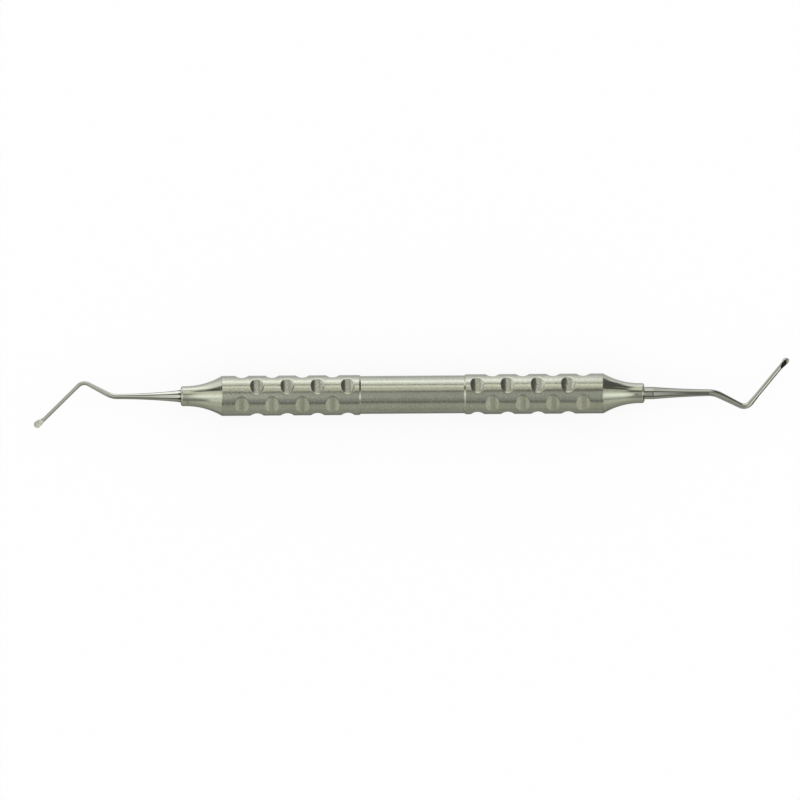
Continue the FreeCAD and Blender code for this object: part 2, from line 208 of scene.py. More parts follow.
def satinSteel():
    # nose cones: smoother than the grips, with a faint trace of the lathe
    look = {"colour": (0.575, 0.59, 0.49), "roughness": 0.13, "grooveDepth": 0.0008 * mm,
            "ringScale": 4200.0, "cloudScale": 420.0, "speckScale": 2900.0}
    material, nodes = newMaterial("satin steel")
    place = nodes.add("ShaderNodeTexCoord", None, None, "Object")
    apart = nodes.add("ShaderNodeSeparateXYZ", None, {"Vector": place}, None)
    onlyAlong = nodes.add("ShaderNodeCombineXYZ", None, {"X": Wire(nodes, apart.outputs["X"])})
    ring = nodes.add("ShaderNodeTexNoise", None,
                     {"Vector": onlyAlong, "Scale": look["ringScale"], "Detail": 2.0,
                      "Roughness": 0.5}, "Fac")
    cloud = nodes.add("ShaderNodeTexNoise", None,
                      {"Vector": place, "Scale": look["cloudScale"], "Detail": 3.0,
                       "Roughness": 0.6}, "Fac")
    speck = nodes.add("ShaderNodeTexNoise", None,
                      {"Vector": place, "Scale": look["speckScale"], "Detail": 1.0,
                       "Roughness": 0.5}, "Fac")
    bump = nodes.add("ShaderNodeBump", None,
                     {"Strength": 1.0, "Distance": look["grooveDepth"],
                      "Height": ring * 0.6 + cloud * 0.8 + speck * 1.5}, "Normal")
    tint = nodes.add("ShaderNodeVectorMath", {"operation": "SCALE"},
                     {0: look["colour"],
                      "Scale": cloud.to(0.3, 0.7, 0.96, 1.03) * speck.to(0.3, 0.7, 0.93, 1.06)})
    shader = nodes.add("ShaderNodeBsdfPrincipled", None,
                       {"Base Color": tint, "Metallic": 1.0,
                        "Roughness": look["roughness"] + cloud.to(0.3, 0.7, -0.015, 0.03),
                        "Normal": bump})
    finishMaterial(nodes, shader)
    return material


def groundSteel():
    # shanks and spoons: polished, with fine grinding lines along the wire
    # the edge value sets how dark the painted shade on the rounded edges between the flats is
    look = {"colour": (0.56, 0.57, 0.5), "roughness": 0.1, "lineDepth": 0.0007 * mm, "paintedEdgeShade": 0.2,
            "lineScale": (2.5, 70.0, 1.0), "cloudScale": 1500.0, "mottleScale": 3200.0,
            # the left spoon's face is made rougher and lighter in colour, with a mottle
            "roughFacePlace": (-88.05 * mm, -6.4 * mm, 4.8 * mm), "roughFaceRadius": 0.9 * mm}
    material, nodes = newMaterial("ground steel")
    along = nodes.add("ShaderNodeUVMap", {"uv_map": "UVMap"}, None, "UV")
    place = nodes.add("ShaderNodeTexCoord", None, None, "Object")
    stretched = nodes.add("ShaderNodeVectorMath", {"operation": "MULTIPLY"},
                          {0: along, 1: look["lineScale"]})
    lines = nodes.add("ShaderNodeTexNoise", None,
                      {"Vector": stretched, "Scale": 1.0, "Detail": 3.0, "Roughness": 0.6}, "Fac")
    cloud = nodes.add("ShaderNodeTexNoise", None,
                      {"Vector": place, "Scale": look["cloudScale"], "Detail": 2.0,
                       "Roughness": 0.5}, "Fac")
    bump = nodes.add("ShaderNodeBump", None,
                     {"Strength": 1.0, "Distance": look["lineDepth"],
                      "Height": lines + cloud * 0.25}, "Normal")
    away = nodes.add("ShaderNodeVectorMath", {"operation": "DISTANCE"},
                     {0: place, 1: look["roughFacePlace"]}, "Value")
    roughFace = (away / look["roughFaceRadius"]).to(0.8, 1.05, 1, 0, True)
    mottle = nodes.add("ShaderNodeTexNoise", None,
                       {"Vector": place, "Scale": look["mottleScale"], "Detail": 2.0,
                        "Roughness": 0.6}, "Fac")
    # painted shade: the rounded edges between the ground flats are darkened in colour, standing in for
    # the darker surroundings they reflect
    spot = nodes.add("ShaderNodeSeparateXYZ", None, {"Vector": along}, None)
    share = (Wire(nodes, spot.outputs["Y"]) * 8 + 0.0001) % 1
    beforeBend = Wire(nodes, spot.outputs["X"]).to(1.5, 1.75, 1, 0)
    edgeShadeMask = share.to(0.5, 0.53) * share.to(0.97, 1, 1, 0) * beforeBend
    shade = (lines.to(0.3, 0.7, 0.94, 1.04) * (1 + roughFace * mottle.to(0.35, 0.65, 0.15, 0.45))
             * (1 - edgeShadeMask * (1 - look["paintedEdgeShade"])))
    tint = nodes.add("ShaderNodeVectorMath", {"operation": "SCALE"},
                     {0: look["colour"], "Scale": shade})
    dull = look["roughness"] + lines.to(0.3, 0.7, -0.02, 0.04) + roughFace * 0.45
    shader = nodes.add("ShaderNodeBsdfPrincipled", None,
                       {"Base Color": tint, "Metallic": 1.0, "Roughness": dull, "Normal": bump})
    finishMaterial(nodes, shader)
    return material


turned = turnedSteel()
satin = satinSteel()
ground = groundSteel()
print("materials ready")


# Meshes

handle = {
    "axisHeight": 4.7, "radius": 4.7, "bandRadius": 4.45, "boreRadius": 3.5,
    "halfLength": 44.7, "edgeBreak": 0.08, "gripStart": 12.52, "bandHalf": 12.1,
    "pitch": 7.1, "firstDimple": 40.05, "cutterRadius": 2.5, "dimpleDepth": 0.54,
    "halfCells": 10, "strips": 6, "stepsPerHalfCell": 18, "lipRound": 0.2,
    # the grid's steps at which a dimple's lip starts and ends, and its place and width as shares of
    # the dimple's outline
    "lipSteps": (7, 13), "lipStart": 0.86, "lipWidth": 0.27,
}
aroundSteps = handle["strips"] * 2 * handle["stepsPerHalfCell"]


def meshObject(name, points, faces, material):
    mesh = bpy.data.meshes.new(name)
    mesh.from_pydata([tuple(point) for point in points], [], faces)
    mesh.materials.append(material)
    mesh.shade_smooth()
    mesh.update()
    piece = bpy.data.objects.new(name, mesh)
    scene.collection.objects.link(piece)
    return piece


def turnedSurface(profile, steps, closed):
    # spins (x, radius) pairs in mm round the handle's axis; the profile's left side faces out
    xs = np.array([pair[0] for pair in profile]) * mm
    radii = np.array([pair[1] for pair in profile]) * mm
    angles = np.arange(steps) * 2 * math.pi / steps
    points = np.stack([
        np.repeat(xs[:, None], steps, 1),
        radii[:, None] * np.sin(angles)[None, :],
        radii[:, None] * np.cos(angles)[None, :] + handle["axisHeight"] * mm,
    ], axis=-1).reshape(-1, 3)
    rings = len(profile)
    faces = []
    for ring in range(rings if closed else rings - 1):
        after = (ring + 1) % rings
        for step in range(steps):
            beside = (step + 1) % steps
            faces.append((ring * steps + step, after * steps + step,
                          after * steps + beside, ring * steps + beside))
    return points, faces


def arcBetween(start, end, sag, steps):
    # points on an arc from start to end that bows to the left by sag
    start, end = np.array(start, float), np.array(end, float)
    chord = np.linalg.norm(end - start)
    along = (end - start) / chord
    left = np.array([-along[1], along[0]])
    radius = (chord * chord / 4 + sag * sag) / (2 * abs(sag))
    centre = (start + end) / 2 + left * (sag - math.copysign(radius, sag))
    first, last = start - centre, end - centre
    turn = math.atan2(first[0] * last[1] - first[1] * last[0], first @ last)
    found = []
    for step in range(steps + 1):
        angle = turn * step / steps
        found.append((centre[0] + first[0] * math.cos(angle) - first[1] * math.sin(angle),
                      centre[1] + first[0] * math.sin(angle) + first[1] * math.cos(angle)))
    return found


def tidyMesh(piece, distance=0.0004 * mm):
    work = bmesh.new()
    work.from_mesh(piece.data)
    bmesh.ops.remove_doubles(work, verts=work.verts, dist=distance)
    bmesh.ops.recalc_face_normals(work, faces=work.faces)
    work.to_mesh(piece.data)
    work.free()


# Dimpled grips: one grid is bent round the handle, and its cells are pulled on to the dimples

def dimpledGripTree():
    tree = bpy.data.node_groups.new("dimpled grip", "GeometryNodeTree")
    tree.is_modifier = True
    sizes = [("Radius", "radius"), ("Axis Height", "axisHeight"), ("Pitch", "pitch"),
             ("First Dimple", "firstDimple"), ("Cutter Radius", "cutterRadius"),
             ("Dimple Depth", "dimpleDepth"), ("Grip Start", "gripStart"), ("Lip Round", "lipRound")]
    tree.interface.new_socket("Geometry", in_out="INPUT", socket_type="NodeSocketGeometry")
    for label, key in sizes:
        socket = tree.interface.new_socket(label, in_out="INPUT", socket_type="NodeSocketFloat")
        socket.default_value = handle[key]
    socket = tree.interface.new_socket("Grip End", in_out="INPUT", socket_type="NodeSocketFloat")
    socket.default_value = handle["halfLength"] - handle["edgeBreak"]
    tree.interface.new_socket("Steps", in_out="INPUT", socket_type="NodeSocketInt")
    tree.interface.new_socket("Finish", in_out="INPUT", socket_type="NodeSocketMaterial")
    tree.interface.new_socket("Geometry", in_out="OUTPUT", socket_type="NodeSocketGeometry")
    nodes = Nodes(tree)
    given = nodes.add("NodeGroupInput", output=None)
    radius, pitch = Wire(nodes, given.outputs["Radius"]), Wire(nodes, given.outputs["Pitch"])
    cutter, depth = (Wire(nodes, given.outputs["Cutter Radius"]),
                     Wire(nodes, given.outputs["Dimple Depth"]))
    first, start, end = (Wire(nodes, given.outputs["First Dimple"]),
                         Wire(nodes, given.outputs["Grip Start"]),
                         Wire(nodes, given.outputs["Grip End"]))
    steps = Wire(nodes, given.outputs["Steps"])

    halfCells, strips = handle["halfCells"], handle["strips"]
    columns, rows = steps * halfCells, steps * (2 * strips)
    grid = nodes.add("GeometryNodeMeshGrid", None,
                     {"Size X": columns, "Size Y": rows,
                      "Vertices X": columns + 1, "Vertices Y": rows + 1}, "Mesh")
    spot = nodes.add("ShaderNodeSeparateXYZ", None,
                     {"Vector": nodes.add("GeometryNodeInputPosition")}, None)
    column = (Wire(nodes, spot.outputs["X"]) + columns / 2) / steps + 0.00001
    row = (Wire(nodes, spot.outputs["Y"]) + rows / 2) / (steps * 2) + 0.00001

    # half cells along the grip, strips round it
    half = column.floor().atMost(halfCells - 1)
    partway = column - half
    strip = row.floor().atMost(strips - 1)
    across = (row - strip) * 2 - 1
    wanted = 1 - strip % 2
    shifted = abs(half % 2 - wanted)
    cell = half + shifted
    lengthways = partway - shifted
    hasDimple = (cell > 1.5) * (cell < halfCells - 0.5)

    def boundary(number):
        return (first + pitch / 2 * (2 - number)).atLeast(start).atMost(end)

    middle = boundary(cell)
    halfLength = boundary(half) - boundary(half + 1)
    stripHalf = math.radians(180 / strips)

    # outline of a dimple, and how far out in its cell each point is
    reach = abs(lengthways).atLeast(abs(across))
    turn = across.angleFrom(lengthways)
    cutterHeight = radius - depth + cutter
    outlineHalf = (cutter * cutter - (cutter - depth) * (cutter - depth)).root()

    def floorHeight(offset):
        return cutterHeight - (cutter * cutter - offset * offset).atLeast(0).root()

    outlineX = outlineHalf * turn.cos()
    outlineTurn = (floorHeight(outlineX) / radius).atMost(1).arccos() * turn.sin().sign()
    inner, outer = (count / handle["stepsPerHalfCell"] for count in handle["lipSteps"])
    growth = (reach.to(0, inner, 0, handle["lipStart"])
              + reach.to(inner, outer, 0, handle["lipWidth"]))
    outward = reach.to(outer, 1)
    safeReach = reach.atLeast(0.00001)
    edgeX = lengthways / safeReach * halfLength
    edgeTurn = across / safeReach * stripHalf
    cellX = growth * outlineX * (1 - outward) + edgeX * outward
    cellTurn = growth * outlineTurn * (1 - outward) + edgeTurn * outward
    offset = lengthways * halfLength * (1 - hasDimple) + cellX * hasDimple
    swing = across * stripHalf * (1 - hasDimple) + cellTurn * hasDimple
    dished = floorHeight(offset) / swing.cos()
    rounded = dished.softlyAtMost(radius, Wire(nodes, given.outputs["Lip Round"]))
    rounded = rounded * (1 - outward) + dished.atMost(radius) * outward
    surface = rounded * hasDimple + radius * (1 - hasDimple)
    angle = swing + strip * (stripHalf * 2) + stripHalf

    placed = nodes.add("ShaderNodeCombineXYZ", None,
                       {"X": (middle - offset) * mm, "Y": surface * angle.sin() * mm,
                        "Z": (surface * angle.cos() + Wire(nodes, given.outputs["Axis Height"])) * mm})
    right = nodes.add("GeometryNodeSetPosition", None, {"Geometry": grid, "Position": placed})
    left = nodes.add("GeometryNodeTransform", None, {"Geometry": right, "Scale": (-1, 1, 1)})
    rightOut = nodes.add("GeometryNodeFlipFaces", None, {"Mesh": right})
    both = nodes.add("GeometryNodeJoinGeometry", output=None)
    tree.links.new(rightOut.socket, both.inputs[0])
    tree.links.new(left.socket, both.inputs[0])
    merged = nodes.add("GeometryNodeMergeByDistance", None,
                       {"Geometry": Wire(nodes, both.outputs[0]), "Distance": 0.0004 * mm})
    real = nodes.add("GeometryNodeRealizeInstances", None, {"Geometry": merged})
    smooth = nodes.add("GeometryNodeSetShadeSmooth", None, {"Geometry": real, "Shade Smooth": True})
    done = nodes.add("GeometryNodeSetMaterial", None,
                     {"Geometry": smooth, "Material": Wire(nodes, given.outputs["Finish"])})
    nodes.add("NodeGroupOutput", None, {"Geometry": done}, None)
    return tree


def grownMesh(name, tree, values):
    # runs a node tree on an empty mesh and keeps the result as a plain mesh
    seed = bpy.data.objects.new(name, bpy.data.meshes.new(name + " seed"))
    scene.collection.objects.link(seed)
    modifier = seed.modifiers.new("grow", "NODES")
    modifier.node_group = tree
    for item in tree.interface.items_tree:
        if item.item_type == "SOCKET" and item.in_out == "INPUT" and item.name in values:
            modifier[item.identifier] = values[item.name]
    ready = seed.evaluated_get(bpy.context.evaluated_depsgraph_get())
    mesh = bpy.data.meshes.new_from_object(ready)
    seed.modifiers.clear()
    seed.data = mesh
    mesh.materials.clear()
    mesh.materials.append(values["Finish"])
    return seed


def makeHandle():
    grips = grownMesh("dimpled_handle", dimpledGripTree(),
                      {"Steps": handle["stepsPerHalfCell"], "Finish": turned})
    radius, band = handle["radius"], handle["bandRadius"]
    start, bandHalf, half = handle["gripStart"], handle["bandHalf"], handle["halfLength"]
    broken, bore = handle["edgeBreak"], handle["boreRadius"]
    shoulder = [(start, radius), (start - 0.04, radius - 0.012), (start - 0.09, radius - 0.045),
                (bandHalf + 0.06, band + 0.03), (bandHalf + 0.02, band + 0.005),
                (bandHalf - 0.04, band)]
    bandProfile = shoulder + [(x, band) for x in np.linspace(bandHalf - 0.5, -bandHalf + 0.5, 24)]
    bandProfile += [(-x, r) for x, r in reversed(shoulder)]
    endProfile = [(half - broken, radius), (half - broken * 0.3, radius - broken * 0.3),
                  (half, radius - broken), (half, radius - 0.3), (half, bore + 0.2), (half, bore),
                  (half - 0.2, bore)]
    boreProfile = [(-x, r) for x, r in endProfile] + list(reversed(endProfile))
    joined = bmesh.new()
    joined.from_mesh(grips.data)
    for profile in (bandProfile, boreProfile):
        points, faces = turnedSurface(profile, aroundSteps, False)
        extra = bpy.data.meshes.new("extra")
        extra.from_pydata([tuple(point) for point in points], [], faces)
        joined.from_mesh(extra)
        bpy.data.meshes.remove(extra)
    bmesh.ops.remove_doubles(joined, verts=joined.verts, dist=0.0006 * mm)
    bmesh.ops.recalc_face_normals(joined, faces=joined.faces)
    for face in joined.faces:
        face.smooth = True
        face.material_index = 0
    joined.to_mesh(grips.data)
    joined.free()
    grips.data.set_sharp_from_angle(angle=math.radians(40))
    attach(grips, "root")
    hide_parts("handle_tube")
    print("handle", len(grips.data.polygons), "faces")


# Nose cones

cone = {
    "length": 9.7, "mouthRadius": 2.35, "landLength": 0.6, "mouthRound": 0.42, "mouthSag": -0.14,
    "mouthFaceRadius": 1.65, "socketRadius": 1.25, "socketDepth": 13.0, "drillPoint": 0.7,
    "spigotLength": 6.0, "spigotChamfer": 0.3,
}


def makeNoseCone(side, name):
    radius, broken = handle["radius"], handle["edgeBreak"]
    roundStart = cone["length"] - cone["mouthRound"]
    landStart = roundStart - cone["landLength"]
    run, rise = landStart - broken, radius - cone["mouthRadius"]
    coneRadius = (run * run + rise * rise) / (2 * rise)
    sag = coneRadius - math.sqrt(coneRadius ** 2 - (run * run + rise * rise) / 4)
    length, socket = cone["length"], cone["socketRadius"]
    back, socketEnd = -cone["spigotLength"], length - cone["socketDepth"]
    chamfer = cone["spigotChamfer"]
    profile = [(back, 0.0), (socketEnd - cone["drillPoint"], 0.0), (socketEnd, socket)]
    profile += [(x, socket) for x in np.linspace(socketEnd + 0.5, length - 0.1, 8)]
    profile += [(length - 0.03, socket + 0.01), (length, socket + 0.05)]
    profile += arcBetween((length, cone["mouthFaceRadius"]), (roundStart, cone["mouthRadius"]),
                          cone["mouthSag"], 8)
    profile += [(x, cone["mouthRadius"]) for x in np.linspace(roundStart - 0.06, landStart + 0.1, 3)]
    profile += arcBetween((landStart, cone["mouthRadius"]), (broken * 1.4, radius - 0.03), sag, 40)
    profile += [(broken * 0.8, radius - 0.01), (broken * 0.3, radius - broken * 0.45),
                (0, radius - broken), (0, radius - 0.4), (0, handle["boreRadius"]),
                (back + chamfer, handle["boreRadius"]), (back, handle["boreRadius"] - chamfer)]
    steps = 144
    placed = [(handle["halfLength"] + x, r) for x, r in profile]
    points, faces = turnedSurface(placed, steps, True)
    points[:, 0] *= side
    piece = meshObject(name, points, faces, satin)
    tidyMesh(piece)
    piece.data.shade_smooth()
    piece.data.set_sharp_from_angle(angle=math.radians(32))
    node = "right_nose_cone" if side > 0 else "left_nose_cone"
    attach(piece, "root")
    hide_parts(node)
    print(name, len(piece.data.polygons), "faces")


# Shanks and spoons

ends = {
    "left": {
        "side": -1, "rootRadius": 1.44, "stub": 0.3, "shankLength": 16.08, "shankSag": 0.19,
        "shankEndRadius": 0.6, "flatRoll": 2.0, "bend": 28.2, "bendRadius": 5.0,
        "middleLength": 7.77, "middleEndRadius": 0.48, "elbow": 72.4, "elbowRadius": 2.0,
        "reach": 14.75, "neckRadius": 0.44, "slimLength": 1.5, "tilt": 0.0,
        "flatShare": [(0.0, 0.995), (0.8, 0.96), (3.0, 0.952), (5.0, 0.957), (7.0, 0.968),
                      (17.0, 0.968), (20.0, 1.02)],
    },
    "right": {
        "side": 1, "rootRadius": 1.46, "stub": 2.0, "shankLength": 16.5, "shankSag": 0.1,
        "shankEndRadius": 0.8, "flatRoll": -10.0, "bend": 27.0, "bendRadius": 6.0,
        "middleLength": 8.22, "middleEndRadius": 0.65, "elbow": 77.0, "elbowRadius": 2.0,
        "reach": 14.45, "neckRadius": 0.54, "slimLength": 2.6, "tilt": 47.0,
        "flatShare": [(0.0, 0.957), (16.0, 0.957), (21.0, 0.962), (23.2, 1.02)],
    },
}
spoon = {
    "radius": 0.83, "backDepth": 0.86, "offset": 0.26, "faceLevel": 0.12, "hollowDepth": 0.1,
    "rimWidth": 0.1, "neckLength": 2.2, "scoopLength": 1.3, "scoopBulge": 0.1,
    # the neck's table: places as shares of its length before the bowl's centre, and how much of the
    # bowl's offset is reached there
    "neckPlaces": (1, 0.7, 0.39, 0.11), "neckShifts": (0, 0.3, 0.73, 1),
}
tang = {"length": 12.0, "radius": 1.25, "chamfer": 0.25}


def curveThrough(places, values, where):
    # smooth curve through a short table, held level past its ends
    places, values = np.array(places, float), np.array(values, float)
    slopes = np.gradient(values, places)
    slopes[0] = 0.0
    where = np.clip(where, places[0], places[-1])
    found = np.interp(where, places, values)
    for index in range(len(places) - 1):
        width = places[index + 1] - places[index]
        part = (where - places[index]) / width
        inside = (part >= 0) & (part <= 1)
        cube = ((2 * part ** 3 - 3 * part ** 2 + 1) * values[index]
                + (part ** 3 - 2 * part ** 2 + part) * width * slopes[index]
                + (3 * part ** 2 - 2 * part ** 3) * values[index + 1]
                + (part ** 3 - part ** 2) * width * slopes[index + 1])
        found = np.where(inside, cube, found)
    return found


def wireParts(end):
    # length and turn of the shank, first bend, middle, elbow and last length
    bend, elbow = math.radians(end["bend"]), math.radians(end["elbow"])
    bendTrim = end["bendRadius"] * math.tan(bend / 2)
    elbowTrim = end["elbowRadius"] * math.tan(elbow / 2)
    return [
        (end["shankLength"] - bendTrim, 0.0),
        (end["bendRadius"] * bend, -bend),
        (end["middleLength"] - bendTrim - elbowTrim, 0.0),
        (end["elbowRadius"] * elbow, elbow),
        (end["reach"] - elbowTrim, 0.0),
    ]


def centreLine(end, where):
    # point and heading in the wire's own plane at a distance along it from the cone's mouth
    parts = wireParts(end)
    point, heading, gone = np.zeros(2), 0.0, 0.0
    for number, (length, turn) in enumerate(parts):
        step = where - gone
        if number < len(parts) - 1:
            step = min(step, length)
        if turn:
            radius = length / turn
            swing = step / radius
            side = np.array([-math.sin(heading), math.cos(heading)])
            middle = point + side * radius
            heading += swing
            point = middle - np.array([-math.sin(heading), math.cos(heading)]) * radius
        else:
            point = point + np.array([math.cos(heading), math.sin(heading)]) * step
        gone += length
        if where <= gone:
            break
    return point, heading


def ringAngles(flatHalf):
    # in each of eight sectors, six steps over the flat and six over the rounded edge
    found = []
    for sector in range(8):
        middle = sector * 45.0
        for step in range(6):
            found.append(middle - flatHalf + 2 * flatHalf * step / 6)
        for step in range(6):
            found.append(middle + flatHalf + (45.0 - 2 * flatHalf) * step / 6)
    return np.radians(np.array(found))


def makeSpoonShank(name, which, node):
    end = ends[which]
    shank, bendEnd, middleEnd, elbowEnd, bowl = np.cumsum([length for length, turn in wireParts(end)])
    radius, rim = spoon["radius"], spoon["radius"] - spoon["rimWidth"]
    hollowRadius = (rim ** 2 + spoon["hollowDepth"] ** 2) / (2 * spoon["hollowDepth"])
    slimEnd = elbowEnd + end["slimLength"]
    neckStart = bowl - spoon["neckLength"]
    sagged = np.array(arcBetween((end["stub"], end["rootRadius"]), (shank, end["shankEndRadius"]),
                                 -end["shankSag"], 40))

    stations = [0.0, 0.02, 0.3]
    stations += list(np.linspace(0.3, end["stub"], 6))[1:] if end["stub"] > 0.31 else []
    stations += list(np.linspace(max(end["stub"], 0.3), shank, 60))[1:]
    stations += list(np.linspace(shank, bendEnd, 22))[1:]
    stations += list(np.linspace(bendEnd, middleEnd, 26))[1:]
    stations += list(np.linspace(middleEnd, elbowEnd, 34))[1:]
    stations += list(np.linspace(elbowEnd, neckStart - 1.2, 26))[1:]
    stations += list(np.linspace(neckStart - 1.2, bowl - radius, 44))[1:]
    stations += list(bowl - radius * np.cos(np.radians(np.linspace(0, 176, 60))))[1:]

    # tang inside the cone, then the stations
    rings, uvs = [], []
    angles = ringAngles(11.25)
    for x, r in ((-tang["length"], 0.0), (-tang["length"], tang["radius"] - tang["chamfer"]),
                 (-tang["length"] + tang["chamfer"], tang["radius"]), (-0.3, tang["radius"]),
                 (-0.02, tang["radius"]), (0.0, tang["radius"] + 0.02)):
        rings.append([(x, r * math.sin(a), r * math.cos(a)) for a in angles])
        uvs.append(x)

    for where in stations:
        point, heading = centreLine(end, where)
        twist = end["tilt"] * np.interp(where, [elbowEnd, neckStart - 1.3], [0.0, 1.0])
        roll = math.radians(end["flatRoll"] * np.interp(where, [bendEnd, middleEnd], [1.0, 0.0]))
        turn = math.radians(twist)
        along = np.array([math.cos(heading), math.sin(heading), 0.0])
        side = np.array([-math.sin(heading), math.cos(heading), 0.0])
        up = np.array([0.0, 0.0, 1.0])
        side, up = (side * math.cos(turn) + up * math.sin(turn),
                    up * math.cos(turn) - side * math.sin(turn))

        if where <= end["stub"]:
            size = end["rootRadius"]
        elif where <= shank:
            size = np.interp(where, sagged[:, 0], sagged[:, 1])
        else:
            size = np.interp(where, [shank, bendEnd, middleEnd, elbowEnd, slimEnd],
                             [end["shankEndRadius"], end["shankEndRadius"], end["middleEndRadius"],
                              end["middleEndRadius"], end["neckRadius"]])
        share = float(np.interp(where, [pair[0] for pair in end["flatShare"]],
                                [pair[1] for pair in end["flatShare"]]))
        if share < 0.9995:
            flatHalf = min(max(math.degrees(math.acos(share)), 1.5), 21.7)
        else:
            flatHalf = 11.25
        theta = ringAngles(flatHalf)
        ring = []
        if where < neckStart - 1.4:
            for angle in theta:
                sector = (angle + math.pi / 8) % (math.pi / 4) - math.pi / 8
                reach = min(size, size * share / math.cos(sector))
                rolled = angle + roll
                ring.append((reach * math.sin(rolled), reach * math.cos(rolled)))
        else:
            back = bowl - where
            tableX = [-spoon["neckLength"] * part for part in spoon["neckPlaces"]]
            neck = end["neckRadius"]
            shifts = [part * spoon["offset"] for part in spoon["neckShifts"]]
            shift = -curveThrough(tableX, shifts, -back)
            wide = curveThrough(tableX, [neck, (neck * 4 + radius) / 5, radius * 0.9, radius * 0.97],
                                -back)
            deep = curveThrough(tableX, [neck, neck, radius * 0.75, spoon["backDepth"] * 0.94], -back)
            if back < radius:
                bulge = math.sqrt(max(1 - (back / radius) ** 2, 0.0))
                blend = np.interp(back, [-tableX[-1], radius * 0.62], [1.0, 0.0])
                wide = max(radius * bulge, wide * (1 - blend))
                deep = max(spoon["backDepth"] * bulge, deep * (1 - blend))
                if back < -tableX[-1]:
                    wide, deep = radius * bulge, spoon["backDepth"] * bulge
            scoopEnd, scoopStart = -radius, -radius - spoon["scoopLength"]
            part = (-back - scoopStart) / (scoopEnd - scoopStart)
            if part < 0:
                level = 9.0
            elif part < 1:
                top = neck * 1.05
                level = (top + (spoon["faceLevel"] - top) * part
                         - 4 * spoon["scoopBulge"] * part * (1 - part))
            else:
                level = spoon["faceLevel"]
            for angle in theta:
                sideways = float(wide) * math.sin(angle)
                height = float(deep) * math.cos(angle)
                if height > level:
                    height = level
                    spread = math.hypot(sideways, back)
                    if spread < rim:
                        height -= (math.sqrt(hollowRadius ** 2 - spread ** 2)
                                   - (hollowRadius - spoon["hollowDepth"]))
                ring.append((sideways + float(shift), height))
        rings.append([tuple(np.array([point[0], point[1], 0.0]) + side * w + up * n) for w, n in ring])
        uvs.append(where)

    count = len(angles)
    points = [p for ring in rings for p in ring]
    tip = len(points)
    points.append(tuple(np.mean(np.array(rings[-1]), axis=0)))
    faces, corners = [], []
    for ring in range(len(rings) - 1):
        for step in range(count):
            beside = (step + 1) % count
            faces.append((ring * count + step, ring * count + beside,
                          (ring + 1) * count + beside, (ring + 1) * count + step))
            corners.append(((uvs[ring], step), (uvs[ring], step + 1), (uvs[ring + 1], step + 1),
                            (uvs[ring + 1], step)))
    last = (len(rings) - 1) * count
    for step in range(count):
        faces.append((last + step, last + (step + 1) % count, tip))
        corners.append(((uvs[-1], step), (uvs[-1], step + 1), (uvs[-1], step)))

    mouth = handle["halfLength"] + cone["length"]
    points = np.array(points)
    points[:, 0] += mouth
    if end["side"] < 0:
        points[:, :2] *= -1
    points[:, 2] += handle["axisHeight"]
    piece = meshObject(name, points * mm, faces, ground)
    layer = piece.data.uv_layers.new(name="UVMap")
    flat = [value for face in corners for s, step in face for value in (s * 0.1, step / count)]
    layer.data.foreach_set("uv", flat)
    tidyMesh(piece, 0.0002 * mm)
    piece.data.shade_smooth()
    piece.data.set_sharp_from_angle(angle=math.radians(22))
    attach(piece, "root")
    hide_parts(node)
    print(name, len(piece.data.polygons), "faces")


makeHandle()
makeNoseCone(-1, "left_cone")
makeNoseCone(1, "right_cone")
makeSpoonShank("left_shank_and_spoon", "left", "left_spoon_shank")
makeSpoonShank("right_shank_and_spoon", "right", "right_spoon_shank")


# Floor, light and camera

